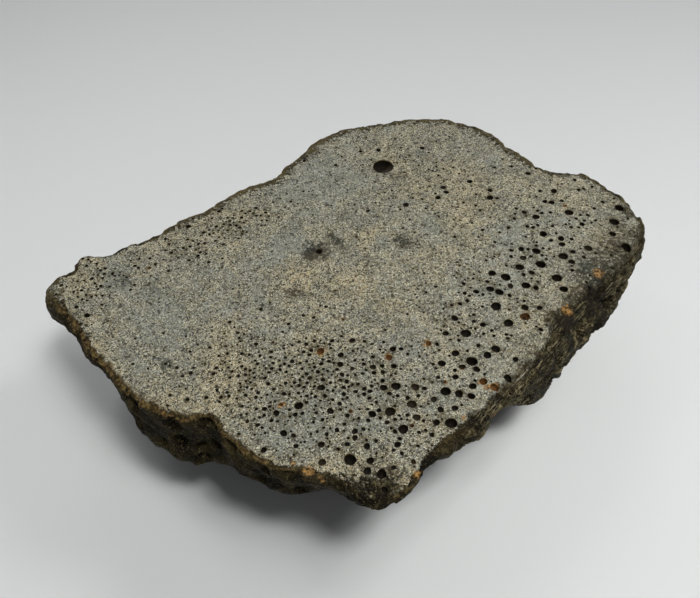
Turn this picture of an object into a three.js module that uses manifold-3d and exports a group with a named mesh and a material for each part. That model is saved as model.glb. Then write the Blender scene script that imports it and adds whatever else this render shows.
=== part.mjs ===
// The sawn end piece of a vesicular eucrite: one stone, with a flat cut face on top that opens round gas bubbles,
// and the natural dark crust around it and below it. Millimetres, +Z up. The origin is at the middle of the
// stone's bounding box, on the surface that it lies on.
import * as THREE from "three";
import { mergeVertices } from "three/addons/utils/BufferGeometryUtils.js";
import Module from "manifold-3d";

// ---- Driving dimensions ----
const THICKNESS = 27; // from the flat that the stone lies on up to the cut face
const RIM_STEPS = 144; // points around the stone
const BELLY_STEPS = 6; // rings between the foot of the wall and the flat underneath
const AXIS = new THREE.Vector2(3, 8); // middle of the cut face, which the bearings are taken from
const FLAT = { long: 25, short: 18, turn: 25 }; // half axes of the flat underneath, and its turn in degrees

// The edge of the cut face, anticlockwise from above. Each stretch is named for the side that it runs along.
const RIM = [
  // the nose, and the left edge as far as the cove
  [-58.2, 1.2], [-56.3, -1.6], [-53.6, -4.4], [-51.4, -7.3], [-49.4, -10.3], [-46.9, -13.3], [-44.2, -15.8],
  [-41.4, -18.9], [-38.4, -22.3], [-34.6, -24.7], [-31.2, -26.4], [-28.4, -27.1], [-26.2, -27],
  // the cove, a sharp nick in the edge
  [-24.4, -26.1], [-23.2, -27.6], [-22.2, -29.3],
  // the front lobe and the front corner
  [-18.4, -32.6], [-14.4, -35.3], [-10.6, -37], [-7.5, -36.8], [-4.6, -38], [-2.2, -38.4], [-0.6, -39.6],
  [1.4, -41.5], [4.4, -42.6], [7.2, -41.9], [9.2, -40.2], [10.8, -37.6],
  // the worn right edge
  [13.4, -33.8], [17.4, -30.4], [21.6, -26.6], [26.4, -22.2], [31.2, -17.2], [35.2, -12.8], [37.4, -9],
  [39.2, -5.2], [42.6, -1.4], [47.6, 2.8], [52.2, 6.8], [56.6, 11.2], [60, 16],
  // the right corner and the back right edge
  [62, 21], [62.2, 25], [60.6, 29.2], [56.8, 33.8], [54, 37.2], [51.8, 38.5], [48.6, 38.3], [45.4, 39.2],
  [42.9, 41], [41.2, 43.7], [38.2, 47.4], [35.8, 49.8], [34.4, 52.3], [31.8, 55], [28.4, 56.6], [25.4, 58.4],
  // the dome at the back
  [22, 59.6], [17.6, 59.3], [12.8, 58.9], [8.6, 57.9], [4.4, 56.6], [0.6, 56], [-3.6, 53.7], [-8.4, 49.3],
  [-11.2, 44.9], [-13.8, 41.9], [-15.8, 38.4], [-17.7, 36.3],
  // the long back left edge and its small steps
  [-19.4, 35.5], [-23.4, 32.7], [-27.2, 30], [-29.6, 27.5], [-31.6, 25.5], [-34.6, 24.2], [-36.3, 22.2],
  [-38.9, 20.3], [-41.6, 16.9], [-43.6, 15.5], [-45.2, 15.8], [-47.6, 13.4], [-50, 12.2], [-53, 11.9],
  [-55, 10.6], [-55.8, 8.6], [-56, 6.7], [-57.2, 5.6], [-58.4, 3.7],
];

// The wall under the edge, by bearing in degrees from +X. worn: how far the edge is rounded out past the flat.
// drop: how deep the wall goes before it turns under. lean: how far its foot stands out from the edge of the cut.
// full: the belly below, from 0, a straight slope, to 1, a full curve.
const WALL = [
  { at: 8, worn: 1.4, drop: 8, lean: 1.8, full: 0.4 },
  { at: 20, worn: 0.9, drop: 9, lean: 0.6, full: 0.6 },
  { at: 62, worn: 0.7, drop: 9, lean: 0.6, full: 0.7 },
  { at: 100, worn: 0.6, drop: 9, lean: 0, full: 0.7 },
  { at: 126, worn: 0.6, drop: 8, lean: -0.4, full: 0.6 },
  { at: 152, worn: 0.6, drop: 7, lean: 0, full: 0.5 },
  { at: 172, worn: 0.8, drop: 5, lean: 0, full: 0.4 },
  { at: 184, worn: 2.4, drop: 6, lean: 1.8, full: 0.3 },
  { at: 192, worn: 1.4, drop: 5, lean: 0.6, full: 0.3 },
  { at: 207, worn: 0.9, drop: 4, lean: -0.6, full: 0.3 },
  { at: 213, worn: 0.9, drop: 7, lean: -0.2, full: 0.4 },
  { at: 222, worn: 0.8, drop: 11.5, lean: 0.6, full: 0.5 },
  { at: 231.5, worn: 0.4, drop: 12.5, lean: 2, full: 0.4 },
  { at: 237, worn: 0.5, drop: 12, lean: 0, full: 0.4 },
  { at: 243, worn: 0.6, drop: 7, lean: 0.8, full: 0.3 },
  { at: 254, worn: 0.8, drop: 7.5, lean: 1.2, full: 0.2 },
  { at: 264, worn: 0.9, drop: 6, lean: 0.4, full: 0.2 },
  { at: 272, worn: 0.7, drop: 4.5, lean: -2.4, full: 0.2 },
  { at: 286, worn: 1, drop: 5.5, lean: -2.2, full: 0.2 },
  { at: 304, worn: 1.2, drop: 6, lean: -1.4, full: 0.2 },
  { at: 313, worn: 2, drop: 7, lean: -0.4, full: 0.3 },
  { at: 324, worn: 2.6, drop: 13, lean: 0.2, full: 0.6 },
  { at: 336, worn: 3.2, drop: 10, lean: 4.6, full: 0.4 },
  { at: 352, worn: 2.4, drop: 9, lean: 4.6, full: 0.4 },
];

// Lumps and hollows of the wall: where, how wide in degrees, how deep and how tall, and how far they stand out.
const LUMPS = [
  { at: 322, wide: 7, deep: 13, tall: 3, out: 1.4 }, // the knob that looks out below the worn right edge
  { at: 330, wide: 3, deep: 9, tall: 3, out: -1.2 },
  { at: 226, wide: 9, deep: 5, tall: 3, out: -2 }, // the hollow under the cove and the shelf below it
  { at: 224, wide: 11, deep: 11.5, tall: 2.5, out: 1.4 },
  { at: 240, wide: 3, deep: 5, tall: 4, out: 1.4 }, // the rib on the right of the cove
  { at: 190, wide: 4, deep: 5, tall: 3, out: 1.2 },
  { at: 38, wide: 7, deep: 12, tall: 5, out: -2.2 },
  { at: 75, wide: 12, deep: 13, tall: 5, out: 2.2 },
  { at: 112, wide: 9, deep: 12, tall: 5, out: -2 },
  { at: 148, wide: 10, deep: 10, tall: 4, out: 1.8 },
  // the broad lumps and thumb-sized hollows of the underside
  { at: 12, wide: 14, deep: 19, tall: 4, out: 3 },
  { at: 52, wide: 11, deep: 20, tall: 5, out: -3 },
  { at: 92, wide: 13, deep: 20, tall: 4, out: 2.6 },
  { at: 130, wide: 12, deep: 19, tall: 5, out: -2.8 },
  { at: 164, wide: 12, deep: 17, tall: 4, out: 2.4 },
  { at: 204, wide: 12, deep: 18, tall: 4, out: -2.4 },
  { at: 250, wide: 11, deep: 20, tall: 4, out: 2.6 },
  { at: 290, wide: 13, deep: 19, tall: 5, out: 2.8 },
  { at: 345, wide: 10, deep: 21, tall: 4, out: -2.4 },
];

// Gas bubbles that the cut opens, as x, y and the diameter of the mouth.
const BUBBLES = [
  // the large one at the back, and the few around it
  [7.6, 40.7, 4.8], [6.7, 46.8, 1.2], [17, 47.6, 1.2], [20.9, 33.3, 1.2], [21.4, 31.7, 1.2], [19.4, 29.9, 1.3],
  [12.2, 27.5, 1.4], [27, 35.4, 1.3], [31.2, 32.3, 1.2], [30.9, 29.9, 1.6], [-6.4, 13.1, 1.5], [-50.3, -4.2, 1.2],
  [-34.4, 20.6, 1.2],
  // the right field, as far as the right corner
  [45.4, 32.1, 1.5], [42.8, 28.6, 1.2], [44.2, 28.3, 1.4], [37.7, 25.1, 1.2], [40, 23.6, 1.6], [47.4, 25, 1.9],
  [58.6, 26.5, 2], [56.5, 22, 2.1], [55.3, 18.3, 1.5], [49.5, 21.3, 1.2], [57.4, 14.6, 2.2], [40.7, 18.3, 1.7],
  [44.2, 16.9, 1.5], [44.1, 15.2, 1.4], [38.4, 13.2, 1.8], [35.4, 13.8, 1.3], [35.4, 11.2, 1.4], [43.7, 11.7, 2],
  [45.9, 13, 1.2], [49.3, 14, 1.7], [45.1, 10.1, 1.4], [38.7, 9.4, 2.1], [34.3, 8.6, 1.8], [28.5, 6.9, 1.6],
  [36.5, 7.1, 1.2], [31.1, 5.8, 2], [41.3, 5.6, 2.1], [31.7, 3.4, 1.3], [34.8, 3.6, 1.8], [42.1, 2.6, 1.7],
  [27.6, 2.6, 1.6], [29.3, 1.8, 1.7], [28.2, -1.9, 2.1], [33.7, -2.2, 1.5], [36.5, -2.3, 1.2], [33.4, -4.5, 1.9],
  [30, -6.1, 1.9], [35.5, -10.2, 2.1],
  // the middle of the right edge, down to the front corner
  [19.9, -4.9, 1.4], [25.1, -6.5, 1.2], [21.7, -8.6, 2], [17.9, -8.6, 1.2], [14.5, -11, 1.2], [26.8, -12.3, 1.7],
  [25.1, -13.7, 1.6], [19.3, -13.3, 1.5], [22.1, -15.1, 2.1], [16.6, -15.6, 1.5], [30.1, -14.7, 1.2],
  [20.2, -16.4, 1.3], [22.8, -16.9, 1.3], [18.8, -18.6, 1.2], [23.7, -19.6, 1.5], [25.5, -20.8, 1.5],
  [21.7, -20.6, 1.4], [28.2, -18.7, 1.5], [16.8, -21.7, 1.9], [19.1, -22.2, 1.6], [21.2, -22.7, 1.4],
  [14.6, -23.4, 1.2], [15.6, -25.5, 1.2], [18.1, -25.2, 1.2], [14.7, -28.1, 1.3], [17.2, -28.2, 2.1],
  [11.5, -20.8, 1.5], [10.7, -24.4, 1.7], [11.4, -27.1, 1.4], [9, -29.4, 1.8], [6.9, -25.9, 1.9],
  [8.1, -20.6, 1.7], [5.9, -20.9, 1.4], [3.8, -26.4, 1.4], [7.9, -12.3, 1.3], [7.1, -14.3, 1.3],
  [4.1, -16.4, 1.2], [7.9, -16.2, 1.1], [7.9, -32.4, 1.2], [2.8, -32.7, 1.2], [0, -35.2, 2.1], [3.3, -35.4, 1.3],
  [2.8, -37.3, 1.4], [5.1, -37.8, 1.7], [5.5, -40.6, 1.2],
  // the left part of the front field
  [0.4, -10.3, 1.2], [-5.4, -12.8, 1.5], [-5.1, -20.9, 1.4], [-8.9, -24.7, 1.6], [-3.4, -25.8, 1.3],
  [-12.7, -26.2, 1.2], [-11.2, -30.2, 1.3], [0.8, -29.8, 1.1], [0.8, -31.1, 1.1], [-4.6, -35.7, 1.3],
  [-14.3, -33.4, 1.1],
];

// Bubbles that the crust has opened: the bearing, the depth below the cut face and the diameter.
const CRUST_BUBBLES = [
  [352, 3.6, 2.4], [343, 2.6, 2], [333, 3.4, 2.4], [318, 4, 1.8], [6, 3, 2.2], [262, 4, 1.6], [252, 5, 1.6],
  [326, 12, 1.8], [338, 9, 1.8], [216, 7, 1.6], [224, 12, 2], [203, 3, 1.4], [20, 6, 2.2], [48, 7, 2.6],
  [60, 14, 3], [88, 10, 3.2], [104, 6, 2], [120, 12, 2.8], [146, 12, 3.4], [174, 6, 1.8], [196, 12, 2.6],
  [282, 14, 3], [0, 18, 3], [32, 20, 3.4], [180, 15, 2.6],
];
const BUBBLE_DEPTH = 0.72; // depth of a bubble on the cut, in diameters of its mouth

// ---- The stone's outer form ----
const DEGREE = Math.PI / 180;
const smooth = (t) => t * t * (3 - 2 * t);
const mix = THREE.MathUtils.lerp;

// The signed angle in degrees from bearing b to bearing a, the short way round.
const turnFrom = (b, a) => ((((a - b + 180) % 360) + 360) % 360) - 180;

// The wall at a bearing, eased between its two neighbours in WALL.
function wallAt(bearing) {
  const next = WALL.findIndex((station) => station.at > bearing);
  const b = WALL[Math.max(next, 0)];
  const a = WALL[(Math.max(next, 0) + WALL.length - 1) % WALL.length];
  const span = (b.at - a.at + 360) % 360;
  const t = smooth(((bearing - a.at + 360) % 360) / span);
  return {
    worn: mix(a.worn, b.worn, t),
    drop: mix(a.drop, b.drop, t),
    lean: mix(a.lean, b.lean, t),
    full: mix(a.full, b.full, t),
  };
}

// How far the flat underneath reaches from the axis at a bearing: an ellipse, turned.
function flatReach(bearing) {
  const angle = (bearing - FLAT.turn) * DEGREE;
  return 1 / Math.hypot(Math.cos(angle) / FLAT.long, Math.sin(angle) / FLAT.short);
}

// What the lumps add to the reach of the stone at a bearing and a depth below the cut.
function lumpsAt(bearing, depth) {
  return LUMPS.reduce((sum, lump) => {
    const across = turnFrom(lump.at, bearing) / lump.wide;
    const down = (depth - lump.deep) / lump.tall;
    return sum + lump.out * Math.exp(-across * across - down * down);
  }, 0);
}

// The broad unevenness of a natural face.
function unevenness(bearing, depth) {
  const angle = bearing * DEGREE;
  return (
    0.8 * Math.sin(5 * angle + 0.31 * depth) +
    0.6 * Math.sin(11 * angle - 0.42 * depth + 1.3) +
    0.7 * Math.sin(9 * angle + 0.9 * depth) * Math.sin(7 * angle - 0.6 * depth + 2.1)
  );
}

// The section of the stone along one bearing: pairs of reach and height, from the rim down to the flat below.
function section(bearing, rimReach) {
  const { worn, drop, lean, full } = wallAt(bearing);
  const footHeight = THICKNESS - drop;
  const footReach = rimReach + lean;
  const made = [
    [rimReach, THICKNESS],
    [rimReach + 0.7 * worn, THICKNESS - 0.25 * worn],
    [rimReach + worn, THICKNESS - 0.8 * worn - 0.4],
  ];
  const wallTop = made[2];
  for (const t of [0.35, 0.7, 1]) {
    made.push([mix(wallTop[0], footReach, smooth(t)), mix(wallTop[1], footHeight, t)]);
  }
  for (let i = 1; i < BELLY_STEPS; i++) {
    const t = i / BELLY_STEPS;
    const curved = [Math.cos(t * 90 * DEGREE), 1 - Math.sin(t * 90 * DEGREE)];
    const out = mix(1 - t, curved[0], full);
    const up = mix(1 - t, curved[1], full);
    made.push([mix(flatReach(bearing), footReach, out), footHeight * up]);
  }
  made.push([flatReach(bearing), 0]);
  const last = made.length - 1;
  return made.map(([reach, height], ring) => {
    const depth = THICKNESS - height;
    const share = ring < 3 ? 0 : Math.min(1, (ring - 2) / 3) * Math.min(1, (last - ring) / 2);
    return [reach + share * (lumpsAt(bearing, depth) + unevenness(bearing, depth)), height];
  });
}

// Points evenly spaced along the rim, with the bearing and the reach of each.
const rimCurve = new THREE.CatmullRomCurve3(
  RIM.map(([x, y]) => new THREE.Vector3(x, y, 0)),
  true,
  "centripetal",
);
const rimPoints = rimCurve.getSpacedPoints(RIM_STEPS).slice(0, RIM_STEPS);
const spokes = rimPoints.map((point) => {
  const arm = new THREE.Vector2(point.x, point.y).sub(AXIS);
  const bearing = (Math.atan2(arm.y, arm.x) / DEGREE + 360) % 360;
  return { bearing, reach: arm.length(), way: arm.clone().normalize() };
});

const onSpoke = ({ way }, [reach, height]) =>
  new THREE.Vector3(AXIS.x + way.x * reach, AXIS.y + way.y * reach, height);

// The closed skin: rings of points from the rim to the flat below, with a fan across each flat.
function skinGeometry() {
  const sections = spokes.map((spoke) => section(spoke.bearing, spoke.reach).map((p) => onSpoke(spoke, p)));
  const rings = sections[0].length;
  const points = sections.flat();
  const at = (spoke, ring) => (spoke % RIM_STEPS) * rings + ring;
  const faceMiddle = points.push(new THREE.Vector3(AXIS.x, AXIS.y, THICKNESS)) - 1;
  const flatMiddle = points.push(new THREE.Vector3(AXIS.x, AXIS.y, 0)) - 1;
  const index = [];
  for (let s = 0; s < RIM_STEPS; s++) {
    index.push(faceMiddle, at(s, 0), at(s + 1, 0));
    index.push(flatMiddle, at(s + 1, rings - 1), at(s, rings - 1));
    for (let r = 0; r + 1 < rings; r++) {
      index.push(at(s, r), at(s, r + 1), at(s + 1, r + 1));
      index.push(at(s, r), at(s + 1, r + 1), at(s + 1, r));
    }
  }
  return new THREE.BufferGeometry().setFromPoints(points).setIndex(index);
}

// ---- Bubbles ----
// A bowl with its mouth at height 0 and a short collar above it, so that it cuts clean through the face.
function bowlGeometry(diameter) {
  const radius = diameter / 2;
  const depth = diameter * BUBBLE_DEPTH;
  const sides = diameter > 3 ? 18 : 8;
  const steps = diameter > 3 ? 4 : 2;
  const profile = [];
  for (let i = 0; i <= steps; i++) {
    const angle = (i / steps) * 90 * DEGREE;
    profile.push(new THREE.Vector2(radius * Math.sin(angle), -depth * Math.cos(angle)));
  }
  profile[0].x = 0;
  profile.push(new THREE.Vector2(radius, 1), new THREE.Vector2(0, 1));
  return new THREE.LatheGeometry(profile, sides).rotateX(Math.PI / 2);
}

// The point of the skin at a bearing and a depth, taken along the nearest spoke.
function skinPoint(bearing, depth) {
  const spoke = spokes.reduce((best, s) =>
    Math.abs(turnFrom(bearing, s.bearing)) < Math.abs(turnFrom(bearing, best.bearing)) ? s : best,
  );
  const line = section(spoke.bearing, spoke.reach);
  const height = THICKNESS - depth;
  const below = line.findIndex((p) => p[1] <= height);
  const [a, b] = [line[below - 1], line[below]];
  return onSpoke(spoke, [mix(a[0], b[0], (a[1] - height) / (a[1] - b[1])), height]);
}

// ---- Solids ----
const wasm = await Module();
wasm.setup();

function solidOf(geometry) {
  const bare = new THREE.BufferGeometry().setAttribute("position", geometry.getAttribute("position"));
  bare.setIndex(geometry.getIndex());
  const merged = mergeVertices(bare, 1e-4);
  const mesh = new wasm.Mesh({
    numProp: 3,
    vertProperties: merged.getAttribute("position").array,
    triVerts: new Uint32Array(merged.getIndex().array),
  });
  return new wasm.Manifold(mesh);
}

function geometryOf(solid) {
  const mesh = solid.getMesh();
  const geometry = new THREE.BufferGeometry();
  geometry.setAttribute("position", new THREE.BufferAttribute(mesh.vertProperties, 3));
  geometry.setIndex(new THREE.BufferAttribute(mesh.triVerts, 1));
  return geometry;
}

let stone = solidOf(skinGeometry());
for (const [x, y, diameter] of BUBBLES) {
  stone = stone.subtract(solidOf(bowlGeometry(diameter).translate(x, y, THICKNESS)));
}
for (const [bearing, depth, diameter] of CRUST_BUBBLES) {
  const middle = skinPoint(bearing, depth);
  const ball = new THREE.IcosahedronGeometry(diameter / 2, 1).translate(middle.x, middle.y, middle.z);
  stone = stone.subtract(solidOf(ball));
}

const geometry = geometryOf(stone);
geometry.computeBoundingBox();
const { min, max } = geometry.boundingBox;
geometry.translate(-(min.x + max.x) / 2, -(min.y + max.y) / 2, -min.z);
geometry.computeVertexNormals();

const stoneMesh = new THREE.Mesh(
  geometry,
  new THREE.MeshStandardMaterial({ color: 0x77776a, roughness: 0.82, metalness: 0, flatShading: true }),
);
stoneMesh.name = "stone";

const meteorite = new THREE.Group();
meteorite.name = "eucrite_end_piece";
meteorite.add(stoneMesh);

export default meteorite;
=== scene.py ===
import math

import bpy
import numpy as np
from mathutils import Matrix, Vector, noise
from mathutils.bvhtree import BVHTree
from mathutils.geometry import delaunay_2d_cdt


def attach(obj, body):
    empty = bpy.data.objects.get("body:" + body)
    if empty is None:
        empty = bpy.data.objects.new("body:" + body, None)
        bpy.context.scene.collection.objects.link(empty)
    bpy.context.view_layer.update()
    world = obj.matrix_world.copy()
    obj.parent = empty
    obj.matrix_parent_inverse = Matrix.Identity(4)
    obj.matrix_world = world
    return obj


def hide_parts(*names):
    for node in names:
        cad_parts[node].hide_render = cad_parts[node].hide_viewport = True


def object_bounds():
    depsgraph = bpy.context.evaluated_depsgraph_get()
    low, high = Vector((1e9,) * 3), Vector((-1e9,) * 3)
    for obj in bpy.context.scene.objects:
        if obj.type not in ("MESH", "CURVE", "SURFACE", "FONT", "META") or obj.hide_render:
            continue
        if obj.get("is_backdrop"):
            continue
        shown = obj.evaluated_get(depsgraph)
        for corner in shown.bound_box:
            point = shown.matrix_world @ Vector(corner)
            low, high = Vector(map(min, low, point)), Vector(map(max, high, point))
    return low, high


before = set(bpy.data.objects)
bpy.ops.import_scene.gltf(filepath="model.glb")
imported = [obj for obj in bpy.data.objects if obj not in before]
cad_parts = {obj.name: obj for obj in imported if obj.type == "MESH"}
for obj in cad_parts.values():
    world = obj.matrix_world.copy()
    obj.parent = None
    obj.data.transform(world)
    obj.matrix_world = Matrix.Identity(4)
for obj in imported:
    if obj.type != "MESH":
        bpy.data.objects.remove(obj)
cad_low, cad_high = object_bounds()

# ---- The edge of the cut ----
# One saw cut took the end off the stone. Its edge is where the flat grey face meets the natural outside.
# It is chipped into small scallops all round, and worn round at the left knob and along the right.
MM = 0.001
EDGE_POINTS = 600
# The round knob at the left end: its centre and its radius.
KNOB = np.array([-57.7, -5.9, 22.9])
KNOB_RADIUS = 4.6
# Dents (below 0) and swellings of the edge: x, y, reach along the edge, and amount.
DENTS = [
    (-57.8, -0.9, 1.1, -0.9),
    (-56.4, 2.8, 1.9, 1.3),
    (-61, -12, 1.5, -0.4),
    (8, -51, 1.2, -0.5),
    (-2, -51.5, 1, -0.5),
]
# Where the edge is worn: x, y, reach along the edge, and width of the rounding.
WORN = [
    (-62.0, -6.5, 3.6, 3.0),
    (-55, 1, 4, 1.0),
    (-57, -15, 4, 0.8),
    (53, -7, 12, 3.0),
    (43, -19, 9, 2.6),
    (29, -32, 8, 2.2),
    (59, 12, 9, 1.8),
    (14, -47, 6, 0.9),
    (56, 26, 8, 0.8),
    (3, -52, 5, 1.3),
]
LEAST_WEAR = 0.45
# Where the edge comes nearer to the knob's centre than this share of its radius, it is pushed out to there.
KNOB_SHARE = 0.93
chance = np.random.default_rng(11)

stone_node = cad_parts["stone"]
corners = np.array([v.co[:] for v in stone_node.data.vertices]) / MM
triangles = np.array([p.vertices[:] for p in stone_node.data.polygons])
CUT_HEIGHT = corners[:, 2].max()
lowest, highest = np.array(cad_low) / MM, np.array(cad_high) / MM


def outlines_at(height):
    """The closed outlines of the flat face at a height, each as a list of its corners in order."""
    shared = np.unique(np.round(corners, 3), axis=0, return_inverse=True)[1].reshape(-1)
    flat = np.all(np.abs(corners[triangles][:, :, 2] - height) < 0.005, axis=1)
    place, onward = {}, {}
    for face in triangles[flat]:
        for a, b in zip(face, np.roll(face, -1)):
            place[shared[a]] = corners[a, :2]
            if onward.pop((shared[b], shared[a]), None) is None:
                onward[(shared[a], shared[b])] = True
    following = {a: b for a, b in onward}
    found = []
    while following:
        start, here = following.popitem()
        line = [place[start]]
        while here != start:
            line.append(place[here])
            here = following.pop(here)
        found.append(np.array(line))
    return sorted(found, key=len, reverse=True)


def length_along(line):
    """How far each corner of a closed outline lies along it, and its whole length as the last value."""
    return np.concatenate([[0], np.cumsum(np.linalg.norm(np.roll(line, -1, axis=0) - line, axis=1))])


def evenly_spaced(line, count):
    """count points at even steps along a closed outline."""
    along = length_along(line)
    closed = np.vstack([line, line[:1]])
    steps = np.arange(count) / count * along[-1]
    return np.stack([np.interp(steps, along, closed[:, i]) for i in range(line.shape[1])], axis=1)


def blurred(values, width, axis=0, closed=True):
    """values averaged with their neighbours along an axis, with a bell of the given width in steps."""
    reach = max(1, int(3 * width))
    bell = np.exp(-0.5 * (np.arange(-reach, reach + 1) / width) ** 2)
    bell /= bell.sum()
    total = np.zeros_like(values)
    if closed:
        for step, weight in zip(range(-reach, reach + 1), bell):
            total += weight * np.roll(values, step, axis=axis)
        return total
    pad = [(0, 0)] * values.ndim
    pad[axis] = (reach, reach)
    padded = np.pad(values, pad, mode="edge")
    for step, weight in zip(range(2 * reach + 1), bell):
        total += weight * np.take(padded, range(step, step + values.shape[axis]), axis=axis)
    return total


def rumple(points, size, seed=0.0):
    """Smooth noise from about -1 to 1 at each point, with lumps of about the given size in millimetres."""
    spots = np.asarray(points, float) / size
    if spots.shape[1] == 2:
        spots = np.hstack([spots, np.zeros((len(spots), 1))])
    shift = Vector((seed, 2.7 * seed, 5.1 - seed))
    return np.array([noise.noise(Vector(p) + shift) for p in spots.tolist()])


def ramp(value, start, end):
    """0 below start, 1 above end, and smooth between them."""
    t = np.clip((value - start) / (end - start), 0, 1)
    return t * t * (3 - 2 * t)


outline, *mouths = outlines_at(CUT_HEIGHT)
edge = blurred(evenly_spaced(outline, EDGE_POINTS), 0.8)
from_knob = edge - KNOB[:2]
to_rim = np.clip(KNOB_SHARE * KNOB_RADIUS / np.linalg.norm(from_knob, axis=1), 1, 4)
edge = blurred(evenly_spaced(KNOB[:2] + from_knob * to_rim[:, None], EDGE_POINTS), 0.6)
ahead = np.roll(edge, -1, axis=0) - np.roll(edge, 1, axis=0)
outward = np.stack([ahead[:, 1], -ahead[:, 0]], axis=1) / np.linalg.norm(ahead, axis=1)[:, None]
edge_bearing = np.degrees(np.arctan2(edge[:, 1], edge[:, 0])) % 360
smoothed = 1 - 0.5 * (ramp(edge_bearing, 300, 315) + ramp(-edge_bearing, -20, 0) * (edge_bearing < 90))
scallops = smoothed * (0.3 * rumple(edge, 2.3, 3) + 0.24 * rumple(edge, 1.0, 8))
for x, y, reach, amount in DENTS:
    scallops += amount * np.exp(-((np.hypot(edge[:, 0] - x, edge[:, 1] - y) / reach) ** 2))
edge = np.clip(edge + outward * scallops[:, None], lowest[:2], highest[:2])


def nearest_on_edge(spots):
    """How far each point lies from the edge, and the number of the nearest point of the edge."""
    far = np.full(len(spots), 1e9)
    which = np.zeros(len(spots), int)
    for first in range(0, EDGE_POINTS, 50):
        away = np.linalg.norm(spots[:, None] - edge[None, first : first + 50], axis=2)
        closest = away.argmin(axis=1)
        nearer = away.min(axis=1) < far
        far[nearer] = away.min(axis=1)[nearer]
        which[nearer] = first + closest[nearer]
    return far, which


def inside_edge(spots):
    """True for each point that lies inside the edge of the cut."""
    x, y = spots[:, 0], spots[:, 1]
    within = np.zeros(len(spots), bool)
    for (ax, ay), (bx, by) in zip(edge, np.roll(edge, -1, axis=0)):
        if ay != by:
            crosses = (ay > y) != (by > y)
            within ^= crosses & (x < (bx - ax) * (y - ay) / (by - ay) + ax)
    return within


wear = np.full(EDGE_POINTS, LEAST_WEAR)
for x, y, reach, width in WORN:
    wear += width * np.exp(-((np.hypot(edge[:, 0] - x, edge[:, 1] - y) / reach) ** 2))


def face_height(spots):
    """The height of the cut face at each point: level, but rounded and chipped away at the edge."""
    far, which = nearest_on_edge(spots)
    width = wear[which]
    rounding = 0.42 * width * np.clip(1 - far / width, 0, 1) ** 2
    chips = 0.8 * np.clip(rumple(spots, 1.5, 51) + 0.1, 0, 1) * np.clip(1 - far / 1.5, 0, 1) ** 2
    return CUT_HEIGHT - rounding - chips


# ---- The gas bubbles ----
# Round holes where the saw opened bubbles of volcanic gas. They are large and well apart along the right,
# crowded and small towards the front, and nearly missing from the left. Some have filled with rust.
# The largest ones are in the solid. These are four small ones on the left, as x, y and diameter.
LEFT_SIDE = [
    (-34.9, -24.4, 0.6), (-34.1, -24.8, 0.4), (-41.3, -4.6, 0.45), (-46.6, -4.1, 0.4),
]
# The middling ones, as x and y on a plan of the face whose zero lies at PLAN_ZERO, listed under their
# diameter. One that falls within SAME_BUBBLE of a bubble in the solid, or of an earlier one, is the same one.
PLAN_ZERO = (-1.5, -8.7)
SAME_BUBBLE = 0.8
ON_THE_PLAN = {
    1.5: [
        (28.3, 6.9), (-8.9, -24.8), (5, -37.7), (10.6, -24.4), (25.6, -20.6), (49.3, 14.2), (33.6, -2.3),
        (26.9, -12.4), (19.8, -4.8), (19, -22.3), (11.5, -20.8), (55.2, 18.3), (30.9, 29.9), (44, 17.1),
        (-5.5, -12.8), (7.1, -14.3), (-5.2, -20.9), (3.8, -26.3), (11.3, -27.1), (16.6, -15.6),
        (23.7, -19.6), (21.7, -20.7), (28, -18.9), (21.5, -22.6), (14.1, -33.9), (45.3, 32.2), (35.4, 11.2),
        (-4.7, -35.7), (33.9, -13.8),
    ],
    1.2: [
        (19.3, -13.3), (43.9, 28.4), (27, 35.5), (5.8, -20.9), (-3.4, -25.8), (3.2, -35.3), (2.7, -37.3),
        (14.5, -23.4), (7.9, -12.2), (0.4, -10.2), (-1.8, -15.8), (4, -16.3), (-11.2, -30.2), (14.6, -28),
        (14.4, -10.8), (36.7, 2.9), (31.6, 3.3), (37.6, 25.1), (44.1, 15.3), (45.8, 13), (45, 10.1),
        (36.4, 7), (25.1, -6.5), (15.7, -25.5), (6.7, 46.8), (-50.4, -4.2), (24.8, 1.9), (17.9, -8.6),
        (-1.7, -13.7), (-12.8, -26.2), (-4.8, -32.4), (30, -14.8), (18.8, -18.7), (18, -25.1), (40.6, 38.2),
        (-34.4, 20.5), (49.5, 21.6),
    ],
    0.9: [
        (16.9, 47.6), (36.5, -2.3), (31.2, 0.9), (35.9, -7.7), (23.5, -5.7), (-5.2, -15.7), (7.9, -16.2),
        (-0.6, -19.6), (-1.1, -22.3), (-4.4, -22.7), (2.5, -21.2), (3.5, -21.7), (13.1, -21.1),
        (6.3, -28.1), (0.7, -29.8), (0.8, -31), (2.6, -32.7), (7.8, -32.3), (7.1, -36.7), (5.5, -40.7),
        (10.4, -35.6), (-1.8, -24.3), (0.4, -16.8), (42.8, 28.6), (46.6, 28.8), (37.7, 20.6), (42, 16.3),
        (35.4, 14.3), (33.3, 13.4), (33, 11.6), (34.8, 6.5), (27.3, 4.6), (31.2, 32.3), (37.1, 40.7),
        (20.9, 33.4), (19.3, 29.8), (12.3, 27.6), (-28.4, 25.3), (-51.5, 5.4), (-5.8, -17.5), (4.3, -17.7),
        (-9.4, -26.5), (-9, -32.7), (-9.5, -30.7), (51.3, 24.1), (55.5, 28.4), (51, 32.5), (46.4, 16.7),
        (47.9, 11.4), (44.8, 7.7), (38.9, 20.3), (41.5, 24.8), (42.3, 32.1), (35.3, 23), (-2.2, -29.6),
        (9.4, -12.3), (-3.3, -10.4), (-8.1, -11.2), (21.4, 31.7), (2.5, 46.3), (-3.3, 41.2), (-10.6, 42.8),
        (-52.8, -2.1), (3.9, 25.5), (22.5, 4), (22.5, 1.5), (22.8, -0.5), (21.3, -1.3), (18.6, -30.3),
        (-14.4, -33.6), (23.7, -11.5), (16.1, -11.2), (21.9, -17), (23.1, -16.7),
    ],
}
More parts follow.
